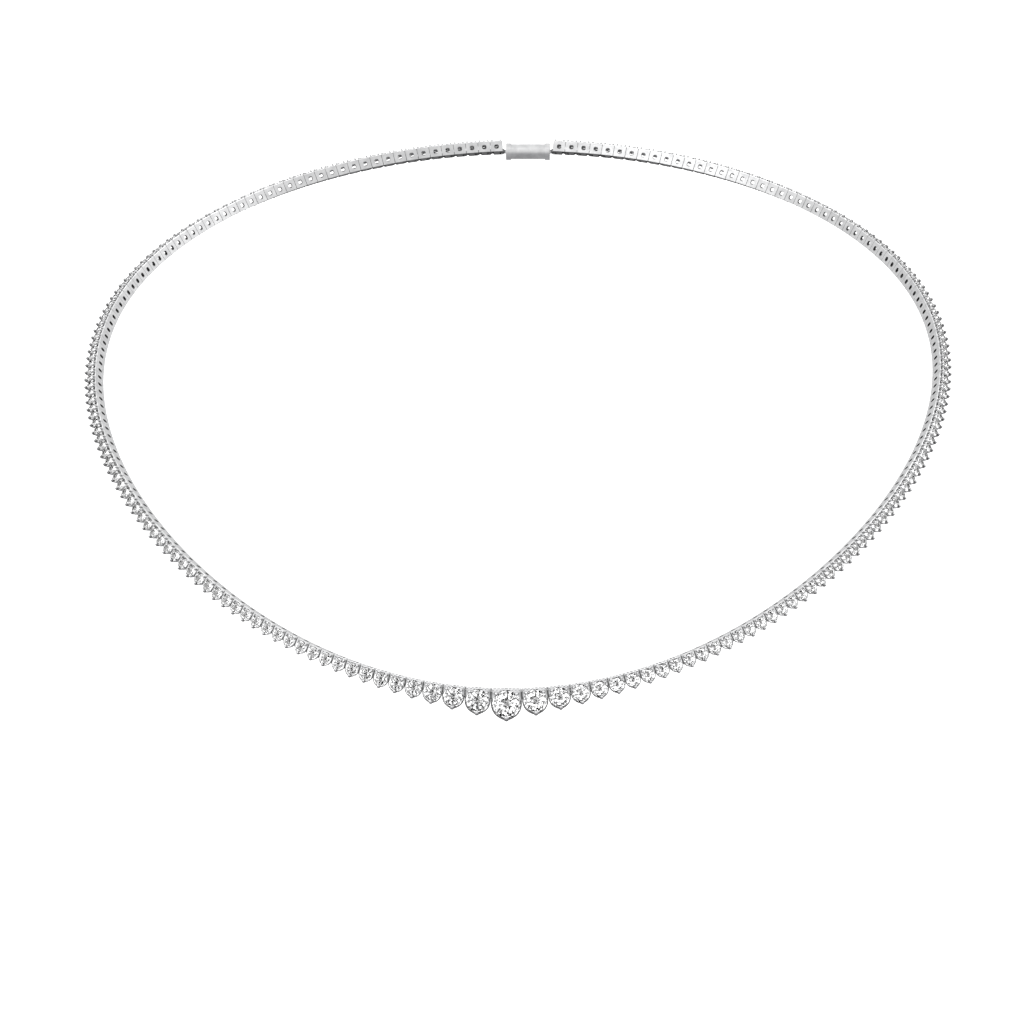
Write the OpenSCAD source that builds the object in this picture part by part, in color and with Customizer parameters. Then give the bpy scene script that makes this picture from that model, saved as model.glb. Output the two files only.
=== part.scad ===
// Graduated riviere necklace: round brilliants in three-prong shield settings, hinged into a closed loop.
// The loop stands as worn, low in front and high at the nape. X runs across, Y to the back and Z up.
// Each setting has its own frame: X along the chain, Y up its face to the neck side, Z out of the face.

/* [Loop] */
// Width of the loop along the upper edge of the settings
loop_w = 126; // [110:1:150]
// Depth of the loop from the front stone to the nape
loop_d = 136; // [120:1:155]
// Height of the nape above the front stone
loop_rise = 52; // [35:1:65]
// Height of the two sides above a straight slope from front to nape
side_lift = 6.5; // [0:0.5:10]
// Further lift of the front quarters, taken off the back quarters
quarter_swell = 3.5; // [0:0.5:6]
// Backward lean of the front setting's face
front_lean = 13; // [0:1:20]
// Greatest backward lean of a setting's face
face_lean = 66; // [20:1:70]

/* [Stones] */
// Diameter of the front stone
front_stone = 4; // [3.4:0.05:4.8]
// Diameter that the stones come down to along the sides
small_stone = 1.75; // [1.7:0.05:2.2]
// Number of stones over which the extra size falls to about a third
size_fall = 2.9; // [2:0.1:4]
// Space from one stone to the next
stone_gap = 0.25; // [0.24:0.01:0.4]
// Space round a main stone in its seat
seat_clear = 0.1; // [0.08:0.01:0.12]

/* [Settings] */
// Depth of the smallest settings, from girdle to base
small_depth = 1.75; // [1.5:0.05:2.2]
// Metal that stands out past the stone on each side
collet_rim = 0.02; // [0:0.01:0.03]
// Metal above the stone, up to the straight upper edge
top_edge = 0.1; // [0.05:0.01:0.2]
// Thickness of the collet under the stone's edge
collet_wall = 0.2; // [0.16:0.01:0.26]
// Thickness of a prong, before a share of its stone's size is added
prong_base = 0.2; // [0.15:0.01:0.25]
// Height of a prong above its collet, before a share of its stone's size is added
prong_rise_base = 0.3; // [0.2:0.01:0.35]
// Thickness of the upper gallery wall
gallery_wall = 0.28; // [0.2:0.01:0.32]
// Slant of the gallery wall's two ends, which lets the loop bend
gallery_taper = 4; // [3:0.5:6]

/* [Hinges] */
// Diameter of a hinge pin
pin_d = 0.24; // [0.2:0.01:0.26]
// Play of a hinge, round its pin and at each side of its eye
hinge_clear = 0.13; // [0.12:0.01:0.16]
// Metal round the hole of an eye
eye_wall = 0.13; // [0.11:0.01:0.16]
// Thickness of an eye
eye_t = 0.3; // [0.24:0.01:0.32]
// Thickness of a fork's ear
ear_t = 0.22; // [0.18:0.01:0.24]

/* [Clasp] */
// Shortest clasp, from hinge to hinge; it also takes up what is left of the loop
clasp_min = 8; // [7:0.5:12]
// Diameter of the clasp's barrel
clasp_d = 2.4; // [2:0.1:3]
// Width of the collar round each end of the barrel
collar_l = 0.8; // [0.5:0.1:1.2]
// Height of the collar above the barrel
collar_h = 0.15; // [0.1:0.05:0.3]

/* [Hidden] */
// Settings on each side of the front one that are pieces of their own
MAIN = 9;
SIDES = ["left", "right"];

// Cut of a round brilliant, as shares of its diameter, with its two main angles
table_share = 0.56;
girdle_share = 0.03;
crown_angle = 34;
pavilion_angle = 41;
star_share = 0.55;
lower_girdle_share = 0.77;
facets = 8;
facet_turn = 360/facets;

// Proportions of a setting, as shares of its stone, its tip, its lower prong or its depth
prong_share = 0.14;
prong_rise_share = 0.085;
corner_share = 0.7;
corner_turn = 45;
girdle_rise_share = 0.02;
collet_share = 0.3;
foot_share = 0.7;
window_w_share = 0.5;
window_low_share = 0.25;
window_high_share = 0.68;
prong_out = seat_clear/2;
ease = 0.02;
round_steps = 32;

// A hinge: a pin between two ears, through the eye of the next setting
pin_r = pin_d/2;
hole_r = pin_r + hinge_clear;
eye_r = hole_r + eye_wall;
ear_r = eye_r - eye_wall/2;
fork_half = eye_t/2 + hinge_clear + ear_t;
hinge_y = -(gallery_wall + 2*hinge_clear + fork_half);
block_back = eye_r + hinge_clear + ease;
block_low = hinge_y - fork_half;
block_tall = 2*ear_r;

// Turn from the front at which the faces lean back the most
full_lean_turn = 140;

// The loop as a route for the settings' upper edge, by its turn from the front
function route(turn) = [
    loop_w/2*sin(turn),
    -loop_d/2*cos(turn),
    -loop_rise/2*cos(turn) + (side_lift + quarter_swell*cos(turn))*pow(sin(turn), 2)
];
function unit(v) = v/norm(v);
function heading(turn) = unit([
    loop_w/2*cos(turn),
    loop_d/2*sin(turn),
    loop_rise/2*sin(turn) - quarter_swell*pow(sin(turn), 3)
        + (side_lift + quarter_swell*cos(turn))*2*sin(turn)*cos(turn)
]);
function outward(turn) = unit(cross(heading(turn), [0, 0, 1]));
function upward(turn) = cross(outward(turn), heading(turn));
function lean(turn) = front_lean + (face_lean - front_lean)*pow(sin(90*turn/full_lean_turn), 2);
function face_out(turn) = outward(turn)*cos(lean(turn)) + upward(turn)*sin(lean(turn));
function face_up(turn) = upward(turn)*cos(lean(turn)) - outward(turn)*sin(lean(turn));

// Length along the route up to each degree of turn
turn_step = 1;
lengths = [
    for (turn = 0, len = 0; turn <= 180;
         len = len + norm(route(turn + turn_step) - route(turn)), turn = turn + turn_step)
    [len, turn]
];
half_length = lookup(180, [for (row = lengths) [row[1], row[0]]]);

// Sizes of the stones and settings, counted from the front one
size_ratio = exp(-1/size_fall);
small_pitch = small_stone + stone_gap;
front_pitch = front_stone + stone_gap;
function stone_d(i) = small_stone + (front_stone - small_stone)*pow(size_ratio, i);
function pitch(i) = stone_d(i) + stone_gap;
function depth(i) = small_depth*sqrt(stone_d(i)/small_stone);
function hinge_depth(i) = (depth(i) + depth(i + 1))/2;
function prong_d(i) = prong_base + prong_share*stone_d(i);
function prong_rise(i) = prong_rise_base + prong_rise_share*stone_d(i);
function stone_y(i) = -top_edge - stone_d(i)/2;
function tip_y(i) = stone_y(i) - stone_d(i)/2 - prong_out - prong_d(i)/2;
function hinge_z(i) = ear_r - hinge_depth(i);

// As many settings a side as leave room for the clasp, which takes the rest
grading_length = front_pitch/2 + (front_pitch - small_pitch)*size_ratio/(1 - size_ratio);
per_side = floor((half_length - clasp_min/2 - grading_length)/small_pitch);
places = [for (i = 0, len = 0; i <= per_side; len = len + (pitch(i) + pitch(i + 1))/2, i = i + 1) len];
function turn_of(i) = lookup(places[i], lengths);
function in_world(i, point) = route(turn_of(i)) + heading(turn_of(i))*point[0]
    + face_up(turn_of(i))*point[1] + face_out(turn_of(i))*point[2];
function in_frame(i, point) =
    let (turn = turn_of(i), v = point - route(turn))
    [v*heading(turn), v*face_up(turn), v*face_out(turn)];

// Hinge from setting i to the next, half way between the ends of their frames, which meet inside the bend
function end_of(i, side, joint) = in_world(i, [side*pitch(i)/2, hinge_y, hinge_z(joint)]);
function hinge(i) = i == per_side ? end_of(i, 1, i) : (end_of(i, 1, i) + end_of(i + 1, -1, i))/2;
function fork_at(i) = in_frame(i, hinge(i));
function eye_at(i) = i == 0 ? -fork_at(i) : in_frame(i, hinge(i - 1));

// Puts its children into the frame of setting i on the right side
module at_setting(i) {
    turn = turn_of(i);
    x = heading(turn);
    y = face_up(turn);
    z = face_out(turn);
    o = route(turn);
    multmatrix([
        [x[0], y[0], z[0], o[0]],
        [x[1], y[1], z[1], o[1]],
        [x[2], y[2], z[2], o[2]],
        [0, 0, 0, 1]
    ])
    children();
}

module on_side(side) {
    if (side == "left") mirror([1, 0, 0]) children();
    else children();
}

// Profile of a full-cut stone, radius and height, from its culet up to its table
function cut_profile(d) =
    let (r = d/2,
         half_turn = facet_turn/2,
         belt = girdle_share*r,
         table_r = table_share*r,
         kite_r = table_r*cos(half_turn) + star_share*(r - table_r*cos(half_turn)),
         low_r = (1 - lower_girdle_share)*r)
    [
        [0, -belt - r*tan(pavilion_angle)],
        [low_r, -belt - (r - low_r*cos(half_turn))*tan(pavilion_angle)],
        [r, -belt],
        [r, belt],
        [kite_r, belt + (r - kite_r*cos(half_turn))*tan(crown_angle)],
        [table_r, belt + (r - table_r)*tan(crown_angle)],
        [0, belt + (r - table_r)*tan(crown_angle)]
    ];

// Outward normal of a profile's edge k, and the profile moved outwards by the same distance all round
function edge_out(profile, k) =
    let (run = profile[k + 1] - profile[k]) unit([run[1], -run[0]]);
function grown(profile, by) = [
    for (k = [0:len(profile) - 1])
    let (last = len(profile) - 1,
         after = edge_out(profile, min(k, last - 1)),
         before = k == 0 ? [-after[0], after[1]] : edge_out(profile, k - 1))
    profile[k] + by*(before + after)/(1 + before*after)
];

// A ring of corners for the facets of a stone
function corners(count, ring, start) = [
    for (k = [0:count - 1])
    [ring[0]*cos(start + k*360/count), ring[0]*sin(start + k*360/count), ring[1]]
];

// Brilliant with the full cut: table, stars, kites, upper and lower girdle facets and pavilion mains
module full_brilliant(d) {
    profile = cut_profile(d);
    half_turn = facet_turn/2;
    n = facets;
    kite = n;
    top = 2*n;
    under = 4*n;
    low = 6*n;
    culet = 7*n;
    polyhedron(
        points = concat(
            corners(n, profile[5], 0),
            corners(n, profile[4], half_turn),
            corners(2*n, profile[3], 0),
            corners(2*n, profile[2], 0),
            corners(n, profile[1], half_turn),
            [[0, 0, profile[0][1]]]
        ),
        faces = concat(
            [[for (k = [n - 1:-1:0]) k]],
            [for (k = [0:n - 1]) [k, (k + 1)%n, kite + k]],
            [for (k = [0:n - 1]) [k, kite + k, top + 2*k, kite + (k + n - 1)%n]],
            [for (k = [0:n - 1]) [kite + k, top + 2*k + 1, top + 2*k]],
            [for (k = [0:n - 1]) [kite + k, top + (2*k + 2)%(2*n), top + 2*k + 1]],
            [for (j = [0:2*n - 1]) [top + j, top + (j + 1)%(2*n), under + (j + 1)%(2*n), under + j]],
            [for (k = [0:n - 1]) [low + k, under + 2*k, under + 2*k + 1]],
            [for (k = [0:n - 1]) [low + k, under + 2*k + 1, under + (2*k + 2)%(2*n)]],
            [for (k = [0:n - 1]) [culet, low + (k + n - 1)%n, under + 2*k, low + k]]
        )
    );
}

// Crown of a small brilliant: a table and eight facets down to the girdle
module small_crown(d) {
    r = d/2;
    table_r = table_share*r;
    n = facets;
    polyhedron(
        points = concat(
            corners(n, [table_r, (r - table_r)*tan(crown_angle)], 0),
            corners(n, [r, 0], 0)
        ),
        faces = concat(
            [[for (k = [n - 1:-1:0]) k], [for (k = [0:n - 1]) n + k]],
            [for (k = [0:n - 1]) [k, (k + 1)%n, n + (k + 1)%n, n + k]]
        )
    );
}

// The room that a main stone and its play take out of the metal
module seat(d) {
    rotate_extrude($fn = round_steps)
    polygon(grown(cut_profile(d), seat_clear));
}

// Collet: straight upper edge and sides, and a lower half that follows the stone
module collet(i) {
    half = stone_d(i)/2 + collet_rim;
    corner = half*tan(facet_turn/2);
    cy = stone_y(i);
    height = collet_share*depth(i);
    translate([0, 0, -height])
    linear_extrude(height)
    polygon([
        [half, 0],
        [-half, 0],
        [-half, cy - corner],
        [-corner, cy - half],
        [corner, cy - half],
        [half, cy - corner]
    ]);
}

// Upper wall from girdle to base, a little narrower at the base, with one window
module gallery(i) {
    half = stone_d(i)/2 + collet_rim;
    deep = depth(i);
    low_half = half - deep*tan(gallery_taper);
    window_half = window_w_share*half;
    rotate([90, 0, 0])
    linear_extrude(gallery_wall)
    difference() {
        polygon([[half, 0], [-half, 0], [-low_half, -deep], [low_half, -deep]]);
        translate([-window_half, (window_low_share - 1)*deep])
        square([2*window_half, (window_high_share - window_low_share)*deep]);
    }
}

// Two slimmer prongs in the upper corners and one below, just outside the girdle's circle
module prongs(i) {
    below = -stone_d(i)/2 - prong_out;
    corner = (stone_d(i)/2 + seat_clear)*cos(corner_turn);
    for (spot = [[corner, corner, corner_share], [-corner, corner, corner_share], [0, below, 1]])
        translate([spot[0], stone_y(i) + spot[1], -2*ease])
        cylinder(r = spot[2]*prong_d(i)/2, h = prong_rise(i) + 2*ease, $fn = round_steps);
}

// Slanted leg under the lower prong, down to the base block or to a keel that reaches it
module leg(i) {
    thick = prong_d(i);
    half = thick/2 + ease;
    tip = tip_y(i) - ease;
    far_foot = foot_share*tip;
    keeled = far_foot < block_low - thick;
    foot = keeled ? far_foot : block_low + ease;
    translate([-half, 0, 0])
    rotate([90, 0, 90])
    linear_extrude(2*half)
    polygon([[tip, 0], [tip + 2*half + ease, 0], [foot + thick, -depth(i)], [foot, -depth(i)]]);
    if (keeled)
        translate([-half, foot, -depth(i)])
        cube([2*half, hinge_y - foot, block_tall]);
}

// Base block between the hinges
module block(i) {
    start = eye_at(i)[0] + block_back;
    translate([start, block_low, -depth(i)])
    cube([fork_at(i)[0] - block_back - start, -block_low, block_tall]);
}

// Fork and pin at the end towards the clasp
module fork(i) {
    at = fork_at(i);
    reach = at[0];
    start = reach - block_back - ear_t;
    for (ear_y = [block_low, block_low + 2*fork_half - ear_t]) {
        translate([start, ear_y, -depth(i)])
        cube([reach - start, ear_t, block_tall]);
        translate([reach, ear_y + ear_t, ear_r - depth(i)])
        rotate([90, 0, 0])
        cylinder(r = ear_r, h = ear_t, $fn = round_steps);
    }
    translate([reach, hinge_y + fork_half - ease, at[2]])
    rotate([90, 0, 0])
    cylinder(r = pin_r, h = 2*(fork_half - ease), $fn = round_steps);
}

// Eye on a short arm, round the pin of the next piece
module eye(reach, start, thick) {
    arm_half = ear_r - ease;
    translate([-reach, thick/2, 0])
    rotate([90, 0, 0])
    difference() {
        union() {
            cylinder(r = eye_r, h = thick, $fn = round_steps);
            translate([0, -arm_half, 0])
            cube([reach - start, 2*arm_half, thick]);
        }
        translate([0, 0, -ease])
        cylinder(r = hole_r, h = thick + 2*ease, $fn = round_steps);
    }
}

// The metal of a setting; the front one has a fork at both ends
module metal(i) {
    collet(i);
    gallery(i);
    prongs(i);
    leg(i);
    block(i);
    fork(i);
    if (i == 0) {
        mirror([1, 0, 0]) fork(i);
    } else {
        at = eye_at(i);
        translate([0, at[1], at[2]]) eye(-at[0], -at[0] - block_back - ear_t, eye_t);
    }
}

module at_stone(i) {
    translate([0, stone_y(i), girdle_rise_share*stone_d(i)]) children();
}

// A main setting, open behind its loose stone
module setting(i) {
    d = stone_d(i);
    color([0.86, 0.87, 0.89])
    at_setting(i)
    difference() {
        union() metal(i);
        at_stone(i) seat(d);
        translate([0, stone_y(i), -collet_share*depth(i) - ease])
        cylinder(r = d/2 - collet_wall, h = collet_share*depth(i), $fn = round_steps);
    }
}

module stone(i) {
    color([0.93, 0.96, 1])
    at_setting(i)
    at_stone(i)
    full_brilliant(stone_d(i));
}

// One fine link, its stone in one with its setting
module fine_link(i) {
    color([0.88, 0.9, 0.93])
    at_setting(i)
    union() {
        metal(i);
        translate([0, stone_y(i), 0]) small_crown(stone_d(i));
    }
}

module fine_chain() {
    for (i = [MAIN + 1:per_side]) fine_link(i);
}

// Plain barrel clasp between the last two settings, with an eye at each end
module clasp() {
    last_hinge = hinge(per_side);
    reach = last_hinge[0];
    barrel = 2*(reach - block_back);
    y = face_up(180);
    z = face_out(180);
    color([0.86, 0.87, 0.89])
    multmatrix([
        [-1, y[0], z[0], 0],
        [0, y[1], z[1], last_hinge[1]],
        [0, y[2], z[2], last_hinge[2]],
        [0, 0, 0, 1]
    ])
    union() {
        translate([-barrel/2, 0, 0])
        rotate([0, 90, 0])
        cylinder(d = clasp_d, h = barrel, $fn = round_steps);
        for (side = [0, 1])
            mirror([side, 0, 0]) {
                translate([-barrel/2, 0, 0])
                rotate([0, 90, 0])
                cylinder(d = clasp_d + 2*collar_h, h = collar_l, $fn = round_steps);
                eye(reach, barrel/2 - ear_t, eye_t - ease*3);
            }
    }
}

setting(0);  // setting_front
stone(0);  // stone_front
for (side = SIDES, i = [1:MAIN]) {
    on_side(side) setting(i);
    on_side(side) stone(i);
}
on_side("left") fine_chain();  // chain_left
on_side("right") fine_chain();  // chain_right
clasp();
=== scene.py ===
"""Looks of a graduated riviere necklace: round brilliants in three-prong shield settings of white gold.

The settings follow the same route as the solids. Each has its own frame: X along the chain, Y up its face
to the neck side and Z out of the face. Sizes are in millimetres until a mesh is made, which is in metres.
"""

import math

import bpy
import numpy as np
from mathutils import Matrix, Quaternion, Vector


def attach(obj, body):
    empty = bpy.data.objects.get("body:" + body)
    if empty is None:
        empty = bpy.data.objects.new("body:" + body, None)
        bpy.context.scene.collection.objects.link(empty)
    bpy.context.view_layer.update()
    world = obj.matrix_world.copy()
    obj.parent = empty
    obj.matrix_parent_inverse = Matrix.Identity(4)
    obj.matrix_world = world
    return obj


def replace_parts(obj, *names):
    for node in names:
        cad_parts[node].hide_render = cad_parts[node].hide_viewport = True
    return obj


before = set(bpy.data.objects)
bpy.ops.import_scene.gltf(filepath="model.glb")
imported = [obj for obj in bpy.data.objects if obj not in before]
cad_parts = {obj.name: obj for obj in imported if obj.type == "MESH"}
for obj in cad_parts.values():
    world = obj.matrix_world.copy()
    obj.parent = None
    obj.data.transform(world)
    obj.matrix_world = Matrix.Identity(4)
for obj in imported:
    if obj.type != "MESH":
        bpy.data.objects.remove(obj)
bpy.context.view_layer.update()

MM = 0.001

# The loop, with the lift of its sides, and the lean of the faces in degrees
LOOP_W = 126.0
LOOP_D = 136.0
LOOP_RISE = 52.0
SIDE_LIFT = 6.5
QUARTER_SWELL = 3.5
FRONT_LEAN = 13.0
FACE_LEAN = 66.0
FULL_LEAN_TURN = 140.0
LAST_TURN = 181

# The stones and the spaces between them
FRONT_STONE = 4.0
SMALL_STONE = 1.75
SIZE_FALL = 2.9
STONE_GAP = 0.25
MAIN = 9
LAST = 101

# Cut of a brilliant, as shares of its radius, with its two main angles
TABLE = 0.56
GIRDLE = 0.03
CROWN_ANGLE = 34.0
PAVILION_ANGLE = 41.0
STAR = 0.55
LOWER_GIRDLE = 0.77
FACETS = 8

# A setting as a whole, and how its stone sits in it
SMALL_DEPTH = 1.75
TOP_EDGE = 0.1
SEAM = 0.012
BEVEL = 0.03
STONE_SHARE = 0.985
GIRDLE_RISE = 0.02
SEAT_CLEAR = 0.1
SEAT_PLAY = 0.03
SEAT_GAP = 0.005

# A collet: its rim and the point below, and the shares of the rim's width that its waist and foot have
RIM = 0.1
RIM_MORE = 0.015
RIM_STAND = 0.01
POINT_SHARE = 0.06
POINT_SPREAD = 18.0
POINT_STEP = 10
COLLET_SHARE = 0.34
WAIST_LOW = 0.45
WAIST_SHARE = 0.97
FOOT_NARROW = 0.86

# The gallery wall, its window as shares of the stone and of the depth, and the rail at its base
GALLERY_WALL = 0.28
SHOULDER_SHARE = 0.22
WINDOW_W = 0.37
WINDOW_LOW = 0.28
WINDOW_HIGH = 0.68
WINDOW_CUT = 0.5
RAIL_R = 0.16
RAIL_END = 0.8

# The prongs: two in the corners, and one below on a leg
PRONG_BASE = 0.2
PRONG_SHARE = 0.14
PRONG_RISE_BASE = 0.3
PRONG_RISE_SHARE = 0.085
PRONG_OUT = 0.07
CORNER_ANGLE = 45.0
CORNER_SHARE = 0.7
CORNER_FOOT_LOW = 0.3
CORNER_FOOT_SHARE = 0.8
FOOT_SHARE = 0.7
LEG_FOOT_SHARE = 0.75
LEG_MIDDLE_SHARE = 0.9

# The fine beads, with the heights of their rings in radians
BEAD_R = 0.16
BEAD_STEP = 0.5
BEAD_SINK = 0.06
BEAD_RINGS = (-1.2, -0.5, 0.1, 0.7, 1.2)

# A hinge
PIN_R = 0.15
PIN_END = 0.02
EYE_R = 0.38
HOLE_R = 0.25
EAR_R = 0.315
EAR_T = 0.22
EYE_T = 0.3
PLAY = 0.13
EASE = 0.02
ARM_INSET = 0.04
HINGE_Y = -(GALLERY_WALL + 2 * PLAY + EYE_T / 2 + PLAY + EAR_T)
FORK_HALF = EYE_T / 2 + PLAY + EAR_T
BLOCK_BACK = EYE_R + PLAY + EASE

# Sides of round parts: on a main setting, on a fine link, more on a gallery wall, and on rails and beads
MAIN_SIDES = 14
FINE_SIDES = 8
GALLERY_MORE = 4
SMALL_SIDES = 8

# Limits of the outlines' arithmetic, and the angle past which an edge of the metal stays sharp
PARALLEL = 1e-9
TOUCHING = 1e-6
ANGLE_DIGITS = 6
SHARP_ANGLE = 38.0

# How light the metal is painted in each place, from painted shade in a deep recess to an open polished
# face, up to a painted highlight
DEEP = 0.05
INSIDE = 0.15
UNDERSIDE = 0.3
EDGE = 0.55
PAINTED_RIM_SHADE = 0.26
PAINTED_WALL_SHADE = 0.9
FACE = 1.0
PAINTED_HIGHLIGHT = 1.35

# Painted shade in dark places gets paler up to this setting from the front, and that on the rims and claws
# by a share of that
PALE = 0.6
PALEST = 12
PALE_RIM = 0.7
PALE_CLAW = 0.5

# Heights, as shares of a collet's radius, above which its rim is painted light and below which it is
# painted shade, and how softly this begins
OUTER_LIT = 0.68
INNER_LIT = 0.35
LIT_SOFTNESS = 0.04

# Rings of a claw: share of its height, size, lean over the stone, and its painted light and shade on the
# far and the neck side
CLAW_PROFILE = (
    (0.0, 1.0, 0.0, 0.2, 0.45),
    (0.5, 1.0, 0.1, 0.3, 0.65),
    (0.78, 0.9, 0.25, 0.45, 0.85),
    (0.94, 0.62, 0.38, 0.85, 1.2),
    (1.0, 0.28, 0.45, 1.2, 1.3),
)

# Material numbers of a piece
METAL = 0
STONE = 1

# Colours
BLACK = (0, 0, 0)
WHITE = (1, 1, 1)
GOLD_DULL = (0.6, 0.602, 0.608)
GOLD_BRIGHT = (0.72, 0.722, 0.726)
# Painted shade in the gold's recesses
GOLD_RECESS_SHADE = (0.02, 0.02, 0.022)
STONE_CLOUD = (0.97, 0.975, 0.985)
PAPER_DULL = (0.93, 0.93, 0.93)
PAPER_BRIGHT = (0.96, 0.96, 0.96)
TENT_LOW = (0.42, 0.42, 0.43)

# Grain of the materials: scale and detail of the noise in each
GOLD_TINT_GRAIN = (900, 3)
GOLD_GLOSS_GRAIN = (2500, 4)
GOLD_MARKS_GRAIN = (6000, 2)
STONE_GRAIN = (700, 2)
PAPER_GRAIN = (3, 2)

# Places of a ramp's two colours
GRAIN_SPAN = (0.35, 0.65)
# Where the painted recess shade begins and ends
RECESS_SHADE_SPAN = (0.1, 0.55)
TENT_SPAN = (0.0, 0.6)

# White gold: roughness of its dull and bright marks, and reach of its painted recess shade and depth of its
# marks in millimetres
GLOSS_LOW = 0.28
GLOSS_HIGH = 0.4
RECESS_SHADE_REACH = 0.8
MARKS_DEPTH = 0.02

# The studio: how far below the horizon the tent is darkest, share of flags, and how many fewer at the sides
TENT_SHIFT = 0.35
FLAG_SHARE = 0.7
FLAGS_FEWER = 0.65


def unit(v):
    return v / np.linalg.norm(v)


def route(turn):
    """Point of the settings' upper edge at a turn in degrees from the front, on the right side."""
    s, c = math.sin(math.radians(turn)), math.cos(math.radians(turn))
    lift = (SIDE_LIFT + QUARTER_SWELL * c) * s * s
    return np.array([LOOP_W / 2 * s, -LOOP_D / 2 * c, -LOOP_RISE / 2 * c + lift])


def heading(turn):
    """Direction of the route at a turn, away from the front."""
    s, c = math.sin(math.radians(turn)), math.cos(math.radians(turn))
    climb = LOOP_RISE / 2 * s - QUARTER_SWELL * s**3 + (SIDE_LIFT + QUARTER_SWELL * c) * 2 * s * c
    return unit(np.array([LOOP_W / 2 * c, LOOP_D / 2 * s, climb]))


def axes(turn):
    """The three axes of a setting's frame, as rows."""
    x = heading(turn)
    out = unit(np.cross(x, [0, 0, 1]))
    up = np.cross(out, x)
    share = math.sin(math.radians(90 * turn / FULL_LEAN_TURN)) ** 2
    lean = math.radians(FRONT_LEAN + (FACE_LEAN - FRONT_LEAN) * share)
    y = up * math.cos(lean) - out * math.sin(lean)
    z = out * math.cos(lean) + up * math.sin(lean)
    return np.array([x, y, z])


def stone_d(i):
    """Diameter of a stone by its number from the front."""
    return SMALL_STONE + (FRONT_STONE - SMALL_STONE) * math.exp(-i / SIZE_FALL)


def pitch(i):
    return stone_d(i) + STONE_GAP


def depth(i):
    """How far a setting's base lies behind its girdle plane."""
    return SMALL_DEPTH * math.sqrt(stone_d(i) / SMALL_STONE)


def paleness(i):
    """Share from the front setting, 0, to the setting from which all painted shade is palest, 1."""
    return min(i, PALEST) / PALEST


def rim(i):
    """Width of a collet's rim outside its stone."""
    return RIM + RIM_MORE * (1 - paleness(i))


def turns():
    """Turn of each setting from the front, by its distance along the route."""
    marks = range(LAST_TURN + 1)
    points = np.array([route(t) for t in marks])
    lengths = np.concatenate([[0], np.cumsum(np.linalg.norm(np.diff(points, axis=0), axis=1))])
    places = [0.0]
    for i in range(LAST):
        places.append(places[-1] + (pitch(i) + pitch(i + 1)) / 2)
    return np.interp(places, lengths, marks)


TURNS = turns()


def bend(i):
    """Angle in radians between the heading of a setting and that of the next."""
    last = min(i, LAST - 1)
    return math.acos(float(np.dot(heading(TURNS[last]), heading(TURNS[last + 1]))))


def fan(i):
    """Share by which a setting may widen downwards, as the lower ends of neighbours spread apart."""
    last = min(i, LAST - 1)
    return max(0.0, -float(np.dot(axes(TURNS[last + 1])[1], axes(TURNS[last])[0]))) / 2


def in_world(i, point):
    return route(TURNS[i]) + np.asarray(point) @ axes(TURNS[i])


def in_frame(i, point):
    return axes(TURNS[i]) @ (point - route(TURNS[i]))


def hinge_point(i):
    """Hinge from setting i to the next, half way between the ends of their frames."""
    z = EAR_R - (depth(i) + depth(i + 1)) / 2
    here = in_world(i, (pitch(i) / 2, HINGE_Y, z))
    if i == LAST:
        return here
    return (here + in_world(i + 1, (-pitch(i + 1) / 2, HINGE_Y, z))) / 2


class Shells:
    """Closed shells of one piece, gathered in the world frame."""

    def __init__(self):
        self.points = []
        self.faces = []
        self.kinds = []
        # Painted light and shade of each point, a factor on the metal's colour
        self.painted_lights = []
        self.count = 0
        self.flip = False
        self.place = (np.zeros(3), np.eye(3))

    def at(self, i, side):
        """Sets the frame of the shells that follow: setting i on that side, mirrored on the left."""
        self.place = (route(TURNS[i]), axes(TURNS[i]))
        self.flip = side == "left"

    def add(self, points, faces, kind=METAL, painted_lights=FACE):
        origin, rows = self.place
        world = origin + np.asarray(points, float) @ rows
        if self.flip:
            world[:, 0] *= -1
            faces = [face[::-1] for face in faces]
        self.points.append(world)
        self.faces += [[self.count + k for k in face] for face in faces]
        self.kinds += [kind] * len(faces)
        self.painted_lights.append(np.broadcast_to(painted_lights, len(points)))
        self.count += len(points)

    def loft(self, rings, ends=True, painted_lights=FACE):
        """Joins rings of as many points each: a capped bar, or, without ends, a ring that closes on itself.

        Painted light and shade are given one for all, one for each ring, or a row of them for each ring.
        """
        n = len(rings[0])
        spans = len(rings) - (1 if ends else 0)
        faces = []
        for r in range(spans):
            a, b = r * n, (r + 1) % len(rings) * n
            faces += [[a + k, a + (k + 1) % n, b + (k + 1) % n, b + k] for k in range(n)]
        if ends:
            faces.append(list(range(n))[::-1])
            faces.append([(len(rings) - 1) * n + k for k in range(n)])
        if np.ndim(painted_lights) == 1:
            painted_lights = np.reshape(painted_lights, (-1, 1))
        painted_lights = np.broadcast_to(painted_lights, (len(rings), n)).ravel()
        self.add([p for ring in rings for p in ring], faces, METAL, painted_lights)

    def piece(self, name, materials):
        data = bpy.data.meshes.new(name)
        data.from_pydata([tuple(p) for p in np.concatenate(self.points) * MM], [], self.faces)
        for material in materials:
            data.materials.append(material)
        numbers = self.kinds if len(materials) > 1 else [0] * len(self.kinds)
        data.polygons.foreach_set("material_index", numbers)
        data.polygons.foreach_set("use_smooth", [kind == METAL for kind in self.kinds])
        data.set_sharp_from_angle(angle=math.radians(SHARP_ANGLE))
        # Painted light and shade of each point, for the gold to multiply its colour by
        painted_lights = data.attributes.new("painted_light", "FLOAT", "POINT")
        painted_lights.data.foreach_set("value", np.concatenate(self.painted_lights).astype(np.float32))
        data.update()
        made = bpy.data.objects.new(name, data)
        bpy.context.scene.collection.objects.link(made)
        return made


def circle(radius, x, y, z, count):
    step = 2 * math.pi / count
    return [(x + radius * math.cos(k * step), y + radius * math.sin(k * step), z) for k in range(count)]


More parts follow.
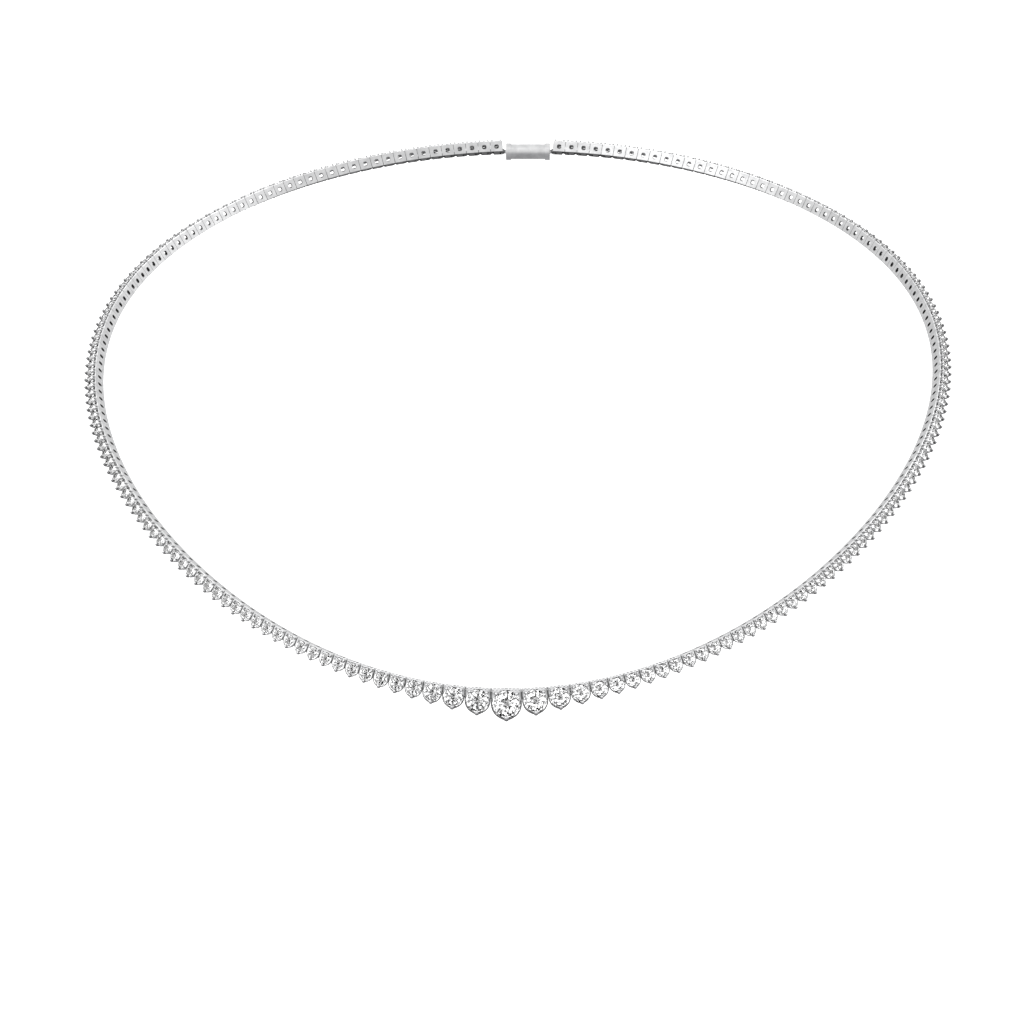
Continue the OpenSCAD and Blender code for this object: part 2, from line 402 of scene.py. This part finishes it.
def reach(outline, centre, angle):
    """Distance from a centre to an outline that goes round it, along an angle."""
    d = np.array([math.cos(angle), math.sin(angle)])
    best = 0.0
    for a, b in zip(outline, outline[1:] + outline[:1]):
        a, e = np.subtract(a, centre), np.subtract(b, a)
        cross = d[0] * e[1] - d[1] * e[0]
        if abs(cross) < PARALLEL:
            continue
        far = (a[0] * e[1] - a[1] * e[0]) / cross
        along = (a[0] * d[1] - a[1] * d[0]) / cross
        if far > 0 and -TOUCHING <= along <= 1 + TOUCHING:
            best = max(best, far)
    return best


def framed(outer, inner, centre, angles):
    """Distances of two outlines from one centre, along the same angles."""
    return [reach(outer, centre, a) for a in angles], [reach(inner, centre, a) for a in angles]


def spread(count, outline, centre):
    """So many even angles round a centre, with those of an outline's corners."""
    even = [2 * math.pi * k / count for k in range(count)]
    corners = [math.atan2(y - centre[1], x - centre[0]) % (2 * math.pi) for x, y in outline]
    return sorted(set(round(a, ANGLE_DIGITS) for a in even + corners))


def shield(i, half):
    """Outline of a collet's rim: straight upper edge and sides, and a lower half that draws to a point."""
    cy = -TOP_EDGE - stone_d(i) / 2
    wide = half - cy * fan(i)
    low = []
    for turn in range(180, 361, POINT_STEP):
        a = math.radians(turn)
        r = wide * (1 + POINT_SHARE * math.exp(-(((turn - 270) / POINT_SPREAD) ** 2)))
        low.append((r * math.cos(a), cy + r * math.sin(a)))
    return [(half, 0.0), (-half, 0.0)] + low


def graded(low, high, angles):
    """Painted light round a ring, from painted shade at its lowest point to painted light at its highest.
    """
    return low + (high - low) * (1 + np.sin(angles)) / 2


def capped(low, high, angles, start):
    """Painted light and shade round a collet: one level above a height, as a share of its radius, and one
    below it.
    """
    return low + (high - low) * np.clip((np.sin(angles) - start) / LIT_SOFTNESS, 0, 1)


def collet(shells, i, count):
    """Cup of the stone: a thin rim at the girdle, and a wall that narrows towards the culet."""
    d, deep = stone_d(i), COLLET_SHARE * depth(i)
    half = d / 2 + rim(i)
    cy = -TOP_EDGE - d / 2
    outline = shield(i, half)
    angles = spread(count, outline[:2], (0.0, cy))
    outer = [reach(outline, (0.0, cy), a) for a in angles]
    stone_r = d / 2 * STONE_SHARE
    seat = stone_r + SEAT_GAP
    top = GIRDLE_RISE * d + GIRDLE * d / 2 + RIM_STAND
    ledge = GIRDLE_RISE * d - GIRDLE * stone_r - SEAT_PLAY
    low_seat = stone_r - (ledge + deep) / math.tan(math.radians(PAVILION_ANGLE))
    turned = np.array(angles)
    rings, painted_lights = [], []
    # Painted shade on the wall and on the rim's lower part, paler on settings further from the front, and a
    # painted highlight on the rim's upper part
    pale = PALE * paleness(i)
    edge = PAINTED_RIM_SHADE + PALE_RIM * pale
    for z, grow, inner, low, high, start in (
        (-deep, FOOT_NARROW, None, DEEP + pale, DEEP + pale, 0),
        (-WAIST_LOW * deep, WAIST_SHARE, None, DEEP + pale, INSIDE + pale, 0),
        (top - 2 * BEVEL, 1.0, None, INSIDE + pale, PAINTED_HIGHLIGHT, OUTER_LIT),
        (top, 1 - BEVEL / half, None, edge, PAINTED_HIGHLIGHT, OUTER_LIT),
        (top, None, seat, edge, PAINTED_HIGHLIGHT, INNER_LIT),
        (ledge, None, seat, edge, EDGE, INNER_LIT),
        (-deep, None, low_seat, INSIDE, INSIDE, 0),
    ):
        radii = [r * grow for r in outer] if grow else [inner] * len(angles)
        rings.append([(r * math.cos(a), cy + r * math.sin(a), z) for r, a in zip(radii, angles)])
        painted_lights.append(capped(low, high, turned, start))
    shells.loft(rings, ends=False, painted_lights=painted_lights)


def gallery(shells, i, count):
    """Upper wall from girdle to base with its rounded window."""
    deep = depth(i)
    top_half = stone_d(i) / 2 + rim(i)
    taper = math.tan(bend(i) / 2)
    low_half = pitch(i) / 2 - SEAM - deep * taper
    shoulder = SHOULDER_SHARE * deep
    wide = pitch(i) / 2 - SEAM - shoulder * taper
    window = WINDOW_W * stone_d(i) / 2
    low, high = (WINDOW_LOW - 1) * deep, (WINDOW_HIGH - 1) * deep
    outer = [
        (top_half, 0.0), (-top_half, 0.0), (-wide, -shoulder),
        (-low_half, -deep), (low_half, -deep), (wide, -shoulder),
    ]
    cut = WINDOW_CUT * window
    inner = [
        (window, high - cut), (window - cut, high), (cut - window, high), (-window, high - cut),
        (-window, low + cut), (cut - window, low), (window - cut, low), (window, low + cut),
    ]
    centre = (0.0, (low + high) / 2)
    angles = spread(count, outer + inner, centre)
    far, near = framed(outer, inner, centre, angles)
    rings, painted_lights = [], []
    # Painted light and shade of the wall: light on its face towards the neck, painted shade on its far
    # side, deepest inside the window
    for y, radii, grow, painted_light in (
        (-GALLERY_WALL, far, -BEVEL, INSIDE),
        (-BEVEL, far, 0, EDGE),
        (0, far, -BEVEL, PAINTED_WALL_SHADE),
        (0, near, BEVEL, PAINTED_WALL_SHADE),
        (-BEVEL, near, 0, UNDERSIDE),
        (-GALLERY_WALL, near, BEVEL, DEEP),
    ):
        rings.append([
            ((r + grow) * math.cos(a), y, centre[1] + (r + grow) * math.sin(a))
            for r, a in zip(radii, angles)
        ])
        painted_lights.append(painted_light)
    shells.loft(rings, ends=False, painted_lights=painted_lights)
    rail(shells, low_half, deep)


def rail(shells, half, deep):
    """Rounded rail along the base of the gallery wall, with painted shade towards the neck."""
    turned = 2 * math.pi * np.arange(SMALL_SIDES) / SMALL_SIDES
    end_r = RAIL_END * RAIL_R
    bar = []
    for x, r in ((-half, end_r), (BEVEL - half, RAIL_R), (half - BEVEL, RAIL_R), (half, end_r)):
        bar.append([(x, -RAIL_R + r * math.cos(a), RAIL_R - deep + r * math.sin(a)) for a in turned])
    shells.loft(bar, painted_lights=[graded(UNDERSIDE, FACE, turned)] * 4)


def prong_r(i):
    return (PRONG_BASE + PRONG_SHARE * stone_d(i)) / 2


def claw(shells, i, x, y, r, foot, count):
    """A prong from its foot up to a rounded tip that leans over the stone's edge."""
    rise = PRONG_RISE_BASE + PRONG_RISE_SHARE * stone_d(i)
    inward = unit(np.array([-x, -TOP_EDGE - stone_d(i) / 2 - y]))
    turned = 2 * math.pi * np.arange(count) / count
    rings = [circle(radius, fx, fy, fz, count) for fx, fy, fz, radius in foot]
    # Painted shade on the foot, and along the claw painted shade on the far side and painted light on the
    # neck side, up to a painted highlight at the tip
    pale = PALE * paleness(i)
    painted_lights = [graded(DEEP + pale, INSIDE + pale, turned)] * len(foot)
    for share, size, lean, low, high in CLAW_PROFILE:
        ring_x = x + inward[0] * lean * r
        ring_y = y + inward[1] * lean * r
        rings.append(circle(r * size, ring_x, ring_y, rise * share, count))
        painted_lights.append(graded(low + PALE_CLAW * pale, high, turned))
    shells.loft(rings, painted_lights=painted_lights)


def claws(shells, i, count):
    """Two slim prongs in the upper corners, and one below on a slanted leg.

    A keel ties the leg to the base block where it stands too far below it.
    """
    d, deep = stone_d(i), depth(i)
    r = prong_r(i)
    cy = -TOP_EDGE - d / 2
    corner = (d / 2 + SEAT_CLEAR) * math.cos(math.radians(CORNER_ANGLE))
    slim = CORNER_SHARE * r
    for x in (corner, -corner):
        foot = [(x, cy + corner, -CORNER_FOOT_LOW * deep, CORNER_FOOT_SHARE * slim)]
        claw(shells, i, x, cy + corner, slim, foot, count)
    tip_y = cy - d / 2 - PRONG_OUT
    low = HINGE_Y - FORK_HALF
    foot_y = FOOT_SHARE * (tip_y - r) + r
    keeled = foot_y < low - r
    if not keeled:
        foot_y = low + r
    leg = [
        (0, foot_y, -deep, LEG_FOOT_SHARE * r),
        (0, (foot_y + tip_y) / 2, -deep / 2, LEG_MIDDLE_SHARE * r),
    ]
    claw(shells, i, 0, tip_y, r, leg, count)
    if keeled:
        keel = (-r, foot_y - r, -deep), (r, low + BEVEL, 2 * EAR_R - deep)
        # Painted shade on the keel
        box(shells, *keel, INSIDE)


def box(shells, low, high, painted_light):
    """A bar along X with softened edges."""
    (x0, y0, z0), (x1, y1, z1) = low, high
    e = BEVEL
    rings = []
    for x, s in ((x0, e), (x0 + e, 0), (x1 - e, 0), (x1, e)):
        a, b, c, d = y0 + s, y1 - s, z0 + s, z1 - s
        rings.append([
            (x, a + e, c), (x, b - e, c), (x, b, c + e), (x, b, d - e),
            (x, b - e, d), (x, a + e, d), (x, a, d - e), (x, a, c + e),
        ])
    shells.loft([ring[::-1] for ring in rings[::-1]], painted_lights=painted_light)


def disc(shells, x, y0, y1, z, radius, count, painted_light):
    """A round plate or pin across the chain."""
    rings = []
    for y, r in ((y0, radius - BEVEL), (y0 + BEVEL, radius), (y1 - BEVEL, radius), (y1, radius - BEVEL)):
        rings.append([(px, y, pz) for px, pz, _ in circle(r, x, z, 0, count)])
    shells.loft([ring[::-1] for ring in rings], painted_lights=painted_light)


def eyelet(shells, x, y, z, count):
    """A ring of metal round a hinge pin."""
    rings = []
    half = EYE_T / 2
    for dy, r in (
        (-half, EYE_R - BEVEL), (BEVEL - half, EYE_R), (half - BEVEL, EYE_R), (half, EYE_R - BEVEL),
        (half, HOLE_R), (-half, HOLE_R),
    ):
        rings.append([(px, y + dy, pz) for px, pz, _ in circle(r, x, z, 0, count)])
    # Painted shade on the eye
    shells.loft([ring[::-1] for ring in rings], ends=False, painted_lights=UNDERSIDE)


def fork(shells, i, side, count):
    """Two ears and the pin between them."""
    reach_x, _, pin_z = in_frame(i, hinge_point(i))
    deep = depth(i)
    low = HINGE_Y - FORK_HALF
    high = low + 2 * FORK_HALF
    ends = sorted((side * (reach_x - BLOCK_BACK - EAR_T), side * reach_x))
    # Painted shade on the ears, and lighter painted shade on the pin
    for ear_y in (low, high - EAR_T):
        box(shells, (ends[0], ear_y, -deep), (ends[1], ear_y + EAR_T, 2 * EAR_R - deep), UNDERSIDE)
        disc(shells, side * reach_x, ear_y, ear_y + EAR_T, EAR_R - deep, EAR_R, count, UNDERSIDE)
    disc(shells, side * reach_x, low - PIN_END, high + PIN_END, pin_z, PIN_R, count, EDGE)


def hinge(shells, i, count):
    """Base block, fork and pin towards the clasp, and the eye round the pin of the setting before.

    The front setting has a fork at both ends, and no eye.
    """
    deep = depth(i)
    fork_x = in_frame(i, hinge_point(i))[0]
    eye = in_frame(i, hinge_point(i - 1)) if i else np.array([-fork_x, 0, 0])
    low = HINGE_Y - FORK_HALF
    block_low = (eye[0] + BLOCK_BACK, low, -deep)
    block_high = (fork_x - BLOCK_BACK, -GALLERY_WALL / 2, 2 * EAR_R - deep)
    # Painted shade on the base block
    box(shells, block_low, block_high, UNDERSIDE)
    fork(shells, i, 1, count)
    if not i:
        fork(shells, i, -1, count)
        return
    eyelet(shells, *eye, count)
    arm_half = EAR_R - ARM_INSET
    arm_low = (eye[0] + (EYE_R + HOLE_R) / 2, eye[1] - EYE_T / 2, eye[2] - arm_half)
    arm_high = (eye[0] + BLOCK_BACK + EAR_T, eye[1] + EYE_T / 2, eye[2] + arm_half)
    # Painted shade on the arm
    box(shells, arm_low, arm_high, UNDERSIDE)


def beads(shells, i):
    """Row of fine beads along the upper edge of a main setting."""
    half = stone_d(i) / 2 + rim(i)
    count = max(3, round(2 * half / BEAD_STEP))
    z = GIRDLE_RISE * stone_d(i)
    turned = 2 * math.pi * np.arange(SMALL_SIDES) / SMALL_SIDES
    for k in range(count):
        x = half * ((2 * k + 1) / count - 1)
        rings = []
        for lift in BEAD_RINGS:
            r, y = BEAD_R * math.cos(lift), BEAD_R * math.sin(lift) - BEAD_SINK
            rings.append([(x + r * math.cos(a), y, z + r * math.sin(a)) for a in turned[::-1]])
        # Painted highlight on the upper half of each bead
        shells.loft(rings, painted_lights=(FACE, FACE, PAINTED_HIGHLIGHT, PAINTED_HIGHLIGHT, PAINTED_HIGHLIGHT))


def metal(shells, i, count):
    """All the metal of a setting, with so many sides to its round parts."""
    collet(shells, i, 2 * count)
    gallery(shells, i, count + GALLERY_MORE)
    claws(shells, i, count)
    hinge(shells, i, count)
    if i <= MAIN:
        beads(shells, i)


def brilliant(shells, i):
    """Full cut: table, stars, kites, upper and lower girdle facets and pavilion mains."""
    d = stone_d(i)
    r = d / 2 * STONE_SHARE
    cy = -TOP_EDGE - d / 2
    lift = GIRDLE_RISE * d
    half_turn = math.pi / FACETS
    crown, pavilion = math.tan(math.radians(CROWN_ANGLE)), math.tan(math.radians(PAVILION_ANGLE))
    table_r = TABLE * r
    kite_r = table_r * math.cos(half_turn) + STAR * (r - table_r * math.cos(half_turn))
    low_r = (1 - LOWER_GIRDLE) * r
    belt = GIRDLE * r
    kite_z = belt + (r - kite_r * math.cos(half_turn)) * crown
    low_z = -belt - (r - low_r * math.cos(half_turn)) * pavilion

    def ring(count, radius, start, z):
        step = 2 * math.pi / count
        return [
            (radius * math.cos(start + k * step), cy + radius * math.sin(start + k * step), lift + z)
            for k in range(count)
        ]

    n = FACETS
    points = (
        ring(n, table_r, 0, belt + (r - table_r) * crown) + ring(n, kite_r, half_turn, kite_z)
        + ring(2 * n, r, 0, belt) + ring(2 * n, r, 0, -belt) + ring(n, low_r, half_turn, low_z)
        + [(0, cy, lift - belt - r * pavilion)]
    )
    kite, top, under, low, culet = n, 2 * n, 4 * n, 6 * n, 7 * n
    faces = [list(range(n))]
    for k in range(n):
        after = (k + 1) % n
        faces += [
            [kite + k, after, k],
            [kite + (k + n - 1) % n, top + 2 * k, kite + k, k],
            [top + 2 * k, top + 2 * k + 1, kite + k],
            [top + 2 * k + 1, top + (2 * k + 2) % (2 * n), kite + k],
            [under + 2 * k + 1, under + 2 * k, low + k],
            [under + (2 * k + 2) % (2 * n), under + 2 * k + 1, low + k],
            [low + k, under + 2 * k, low + (k + n - 1) % n, culet],
        ]
    for k in range(2 * n):
        after = (k + 1) % (2 * n)
        faces.append([under + k, under + after, top + after, top + k])
    shells.add(points, faces, STONE)


def new_material(name):
    """A node material, its nodes, its links and its main shader."""
    material = bpy.data.materials.new(name)
    material.use_nodes = True
    nodes = material.node_tree.nodes
    return material, nodes, material.node_tree.links, nodes["Principled BSDF"]


def noise(nodes, links, grain):
    """Noise in the frame's own metres, so that its grain has one size on every piece."""
    scale, detail = grain
    place = nodes.new("ShaderNodeNewGeometry")
    made = nodes.new("ShaderNodeTexNoise")
    made.inputs["Scale"].default_value = scale
    made.inputs["Detail"].default_value = detail
    links.new(place.outputs["Position"], made.inputs["Vector"])
    return made.outputs["Fac"]


def ramp(nodes, links, value, low, high, at=GRAIN_SPAN):
    """Turns a value into one of two colours, or a mix of both between their places."""
    made = nodes.new("ShaderNodeValToRGB")
    for element, colour, position in zip(made.color_ramp.elements, (low, high), at):
        element.color = (*colour, 1)
        element.position = position
    links.new(value, made.inputs["Fac"])
    return made


def product(nodes, links, first, second):
    """One colour multiplied by another."""
    made = nodes.new("ShaderNodeMix")
    made.data_type = "RGBA"
    made.blend_type = "MULTIPLY"
    made.inputs["Factor"].default_value = 1.0
    links.new(first, made.inputs["A"])
    links.new(second, made.inputs["B"])
    return made.outputs["Result"]


def by_ray(nodes, links, kind, first, second):
    """Takes the second shader for rays of one kind, and the first for all others."""
    ray = nodes.new("ShaderNodeLightPath")
    pick = nodes.new("ShaderNodeMixShader")
    links.new(ray.outputs[kind], pick.inputs["Fac"])
    links.new(first, pick.inputs[1])
    links.new(second, pick.inputs[2])
    return pick.outputs["Shader"]


def white_gold(name, light_painted):
    """Polished white gold: painted shade in its recesses, painted light and shade from the mesh where
    asked, and faint polishing marks.
    """
    material, nodes, links, shader = new_material(name)
    shader.inputs["Metallic"].default_value = 1.0
    tint = ramp(nodes, links, noise(nodes, links, GOLD_TINT_GRAIN), GOLD_DULL, GOLD_BRIGHT)
    # Painted shade in recesses: ambient occlusion darkens the colour
    recess = nodes.new("ShaderNodeAmbientOcclusion")
    recess.samples = 8
    recess.inputs["Distance"].default_value = RECESS_SHADE_REACH * MM
    shade = ramp(nodes, links, recess.outputs["AO"], GOLD_RECESS_SHADE, WHITE, RECESS_SHADE_SPAN)
    colour = product(nodes, links, tint.outputs["Color"], shade.outputs["Color"])
    # Painted light and shade from the mesh, multiplied into the gold's colour
    if light_painted:
        painted_light = nodes.new("ShaderNodeAttribute")
        painted_light.attribute_name = "painted_light"
        colour = product(nodes, links, colour, painted_light.outputs["Fac"])
    links.new(colour, shader.inputs["Base Color"])
    marks = noise(nodes, links, GOLD_GLOSS_GRAIN)
    gloss = ramp(nodes, links, marks, (GLOSS_LOW,) * 3, (GLOSS_HIGH,) * 3)
    links.new(gloss.outputs["Color"], shader.inputs["Roughness"])
    bump = nodes.new("ShaderNodeBump")
    bump.inputs["Strength"].default_value = 0.06
    bump.inputs["Distance"].default_value = MARKS_DEPTH * MM
    links.new(noise(nodes, links, GOLD_MARKS_GRAIN), bump.inputs["Height"])
    links.new(bump.outputs["Normal"], shader.inputs["Normal"])
    return material


def diamond():
    """Clear cut stone, with the faintest cloud in its colour."""
    material, nodes, links, shader = new_material("diamond")
    shader.inputs["Transmission Weight"].default_value = 1.0
    shader.inputs["IOR"].default_value = 2.417
    shader.inputs["Roughness"].default_value = 0.0
    cloud = ramp(nodes, links, noise(nodes, links, STONE_GRAIN), STONE_CLOUD, WHITE)
    links.new(cloud.outputs["Color"], shader.inputs["Base Color"])
    return material


def pale_floor():
    """White studio floor, lit evenly enough to run out of sight. Only the camera sees it.

    Metal and stones look past it to the tent and its flags.
    """
    material, nodes, links, shader = new_material("pale_floor")
    paper = ramp(nodes, links, noise(nodes, links, PAPER_GRAIN), PAPER_DULL, PAPER_BRIGHT)
    links.new(paper.outputs["Color"], shader.inputs["Base Color"])
    shader.inputs["Roughness"].default_value = 0.9
    shader.inputs["Emission Color"].default_value = (1, 1, 1, 1)
    shader.inputs["Emission Strength"].default_value = 0.5
    clear = nodes.new("ShaderNodeBsdfTransparent").outputs["BSDF"]
    shown = by_ray(nodes, links, "Is Camera Ray", clear, shader.outputs["BSDF"])
    links.new(shown, nodes["Material Output"].inputs["Surface"])
    return material


def floor(z):
    data = bpy.data.meshes.new("floor")
    half = 6.0
    corners = [(-half, -half, z), (half, -half, z), (half, half, z), (-half, half, z)]
    data.from_pydata(corners, [], [(0, 1, 2, 3)])
    data.materials.append(pale_floor())
    made = bpy.data.objects.new("floor", data)
    bpy.context.scene.collection.objects.link(made)


def aim(made, place, target, roll=0.0):
    """Puts a light or the camera in its place, turned to a target and rolled by so many degrees."""
    made.location = place
    made.rotation_mode = "QUATERNION"
    turned = (Vector(target) - Vector(place)).to_track_quat("-Z", "Y")
    made.rotation_quaternion = turned @ Quaternion((0, 0, 1), math.radians(roll))
    bpy.context.scene.collection.objects.link(made)


def softbox(name, place, size, watts):
    data = bpy.data.lights.new(name, "AREA")
    data.shape = "RECTANGLE"
    data.size, data.size_y = size
    data.energy = watts
    aim(bpy.data.objects.new(name, data), place, (0, 0, 0))


# The camera: where it stands, from its angles and distance to what it looks at
CAMERA_AZIMUTH = 1.57
CAMERA_ELEVATION = 14.44
CAMERA_ROLL = -0.267
CAMERA_DISTANCE = 850.0
CAMERA_TARGET = (-0.97, 0.0, -18.03)
CAMERA_LENS = 198.28


def camera_back():
    """Direction from what the camera looks at to the camera."""
    a, e = math.radians(CAMERA_AZIMUTH), math.radians(CAMERA_ELEVATION)
    return Vector((math.sin(a) * math.cos(e), -math.cos(a) * math.cos(e), math.sin(e)))


def camera():
    data = bpy.data.cameras.new("camera")
    data.lens = CAMERA_LENS
    data.sensor_width = 36
    data.clip_start, data.clip_end = 0.05, 30
    target = Vector(CAMERA_TARGET) * MM
    made = bpy.data.objects.new("camera", data)
    aim(made, target + camera_back() * CAMERA_DISTANCE * MM, target, CAMERA_ROLL)
    bpy.context.scene.camera = made


def studio():
    """A white tent, darker below, hung with black flags for the stones to sparkle in.

    The camera itself sees plain white, and soft reflections see the tent without its flags.
    """
    world = bpy.data.worlds.new("studio")
    bpy.context.scene.world = world
    world.use_nodes = True
    nodes, links = world.node_tree.nodes, world.node_tree.links
    plain = nodes["Background"]
    plain.inputs["Color"].default_value = (1, 1, 1, 1)
    plain.inputs["Strength"].default_value = 1.1
    direction = nodes.new("ShaderNodeTexCoord").outputs["Generated"]

    parts = nodes.new("ShaderNodeSeparateXYZ")
    links.new(direction, parts.inputs["Vector"])
    lift = nodes.new("ShaderNodeMath")
    lift.operation = "ADD"
    lift.inputs[1].default_value = TENT_SHIFT
    links.new(parts.outputs["Z"], lift.inputs[0])
    shade = ramp(nodes, links, lift.outputs["Value"], TENT_LOW, WHITE, TENT_SPAN)
    tent = nodes.new("ShaderNodeBackground")
    tent.inputs["Strength"].default_value = 1.05
    links.new(shade.outputs["Color"], tent.inputs["Color"])

    cells = nodes.new("ShaderNodeTexVoronoi")
    cells.inputs["Scale"].default_value = 8.0
    links.new(direction, cells.inputs["Vector"])
    patch = nodes.new("ShaderNodeSeparateColor")
    links.new(cells.outputs["Color"], patch.inputs["Color"])
    sideways = nodes.new("ShaderNodeMath")
    sideways.operation = "MULTIPLY"
    links.new(parts.outputs["X"], sideways.inputs[0])
    links.new(parts.outputs["X"], sideways.inputs[1])
    fewer = nodes.new("ShaderNodeMath")
    fewer.operation = "MULTIPLY_ADD"
    fewer.inputs[1].default_value = FLAGS_FEWER
    links.new(sideways.outputs["Value"], fewer.inputs[0])
    links.new(patch.outputs["Red"], fewer.inputs[2])
    hung = ramp(nodes, links, fewer.outputs["Value"], BLACK, WHITE, (0.0, FLAG_SHARE))
    hung.color_ramp.interpolation = "CONSTANT"
    flags = nodes.new("ShaderNodeBackground")
    flags.inputs["Strength"].default_value = 2.0
    links.new(hung.outputs["Color"], flags.inputs["Color"])

    lit = by_ray(nodes, links, "Is Singular Ray", tent.outputs["Background"], flags.outputs["Background"])
    shown = by_ray(nodes, links, "Is Camera Ray", lit, plain.outputs["Background"])
    links.new(shown, nodes["World Output"].inputs["Surface"])


SIDES = ("left", "right")


def main_pieces(gold, gem):
    """The front setting and the nine on each side of it, each with its own stone."""
    for side in SIDES:
        for i in range(0 if side == "right" else 1, MAIN + 1):
            node = f"{side}_{i}" if i else "front"
            shells = Shells()
            shells.at(i, side)
            metal(shells, i, MAIN_SIDES)
            made = shells.piece(f"metal_{node}", [gold])
            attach(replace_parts(made, f"setting_{node}"), "root")
            shells = Shells()
            shells.at(i, side)
            brilliant(shells, i)
            made = shells.piece(f"brilliant_{node}", [gem])
            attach(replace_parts(made, f"stone_{node}"), "root")


def fine_chains(gold, gem):
    """The fine links of each side as one piece, metal and stones together."""
    for side in SIDES:
        shells = Shells()
        for i in range(MAIN + 1, LAST + 1):
            shells.at(i, side)
            metal(shells, i, FINE_SIDES)
            brilliant(shells, i)
        made = shells.piece(f"links_{side}", [gold, gem])
        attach(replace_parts(made, f"chain_{side}"), "root")


bpy.context.scene.view_settings.view_transform = "Standard"
camera()
studio()
softbox("key", place=(-0.5, -0.35, 0.7), size=(0.7, 0.7), watts=1.5)
softbox("fill", place=(0.6, 0.2, 0.6), size=(0.6, 0.6), watts=1)
floor(z=-0.12)
gold_look, gem_look = white_gold("white_gold", True), diamond()
main_pieces(gold_look, gem_look)
fine_chains(gold_look, gem_look)
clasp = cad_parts["clasp"]
clasp.data.materials.clear()
clasp.data.materials.append(white_gold("clasp_gold", False))
